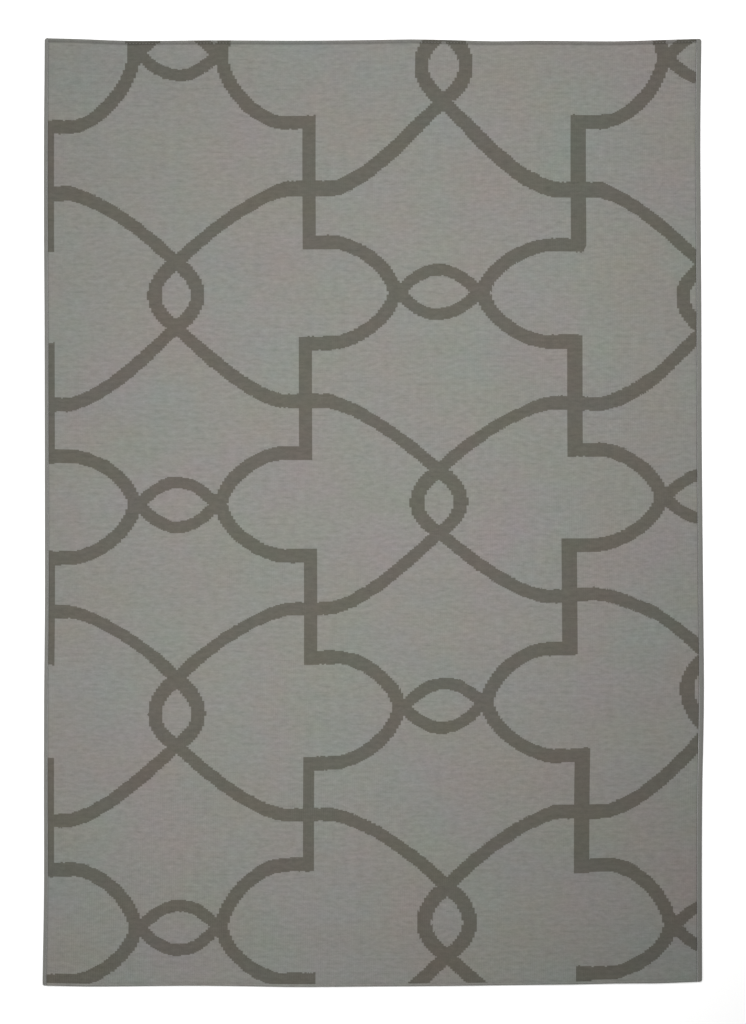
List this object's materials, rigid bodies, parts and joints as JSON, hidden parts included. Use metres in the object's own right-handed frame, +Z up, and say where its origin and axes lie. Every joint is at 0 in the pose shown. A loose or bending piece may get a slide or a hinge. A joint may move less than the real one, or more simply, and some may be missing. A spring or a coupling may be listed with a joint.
{
  "type": "flat-woven rug",
  "caption": "Rectangular flat-woven wool rug in grey with a darker interlaced trellis pattern, hemmed ends and overcast side cords.",
  "frame": {"origin": "on the floor, under the middle of the rug's box", "axes": "+Z up out of the rug's face, +Y along its length towards the far hemmed end, +X across it towards the wider side cord"},
  "size_m": [1.6088, 2.3088, 0.0066],
  "materials": {
    "woven_wool": "matte weft-faced wool flatweave",
    "overcast_yarn": "matte wrapped wool yarn"
  },
  "bodies": {
    "root": {"woven_field": "woven_wool", "side_cord_left": "overcast_yarn", "side_cord_right": "overcast_yarn"}
  },
  "joints": []
}
